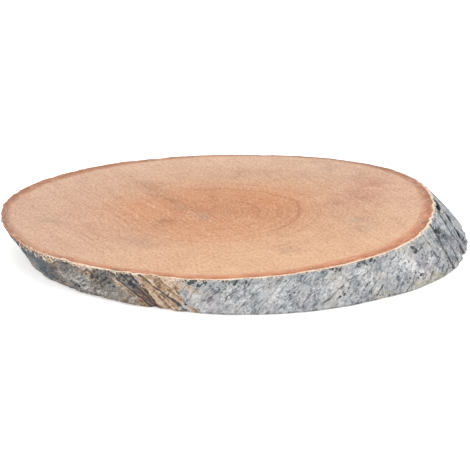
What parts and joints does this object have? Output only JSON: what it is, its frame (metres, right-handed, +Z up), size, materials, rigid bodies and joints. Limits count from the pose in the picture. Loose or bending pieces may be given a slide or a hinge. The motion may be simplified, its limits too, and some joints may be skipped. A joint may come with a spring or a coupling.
{
  "type": "birch wood slice",
  "caption": "Slanted slice of a birch trunk with its bark left on, flat sawn on both faces, lying flat as a stand or a craft base.",
  "frame": {"origin": "on the underside, under the middle of the slice's outer box", "axes": "+Z up out of the upper cut, +X along the long way of the cut, towards the end where the trunk leans out at the foot"},
  "size_m": [0.2876, 0.1948, 0.023],
  "materials": {
    "birch_wood": "dry sawn birch, pinkish tan with a darker heart, faint rings and fine saw marks, matte",
    "birch_bark": "rough silver grey birch bark with dark slits and brown furrowed patches, red-brown where it is sawn, matte"
  },
  "bodies": {
    "root": {"birch_slice": "birch_wood"}
  },
  "joints": []
}
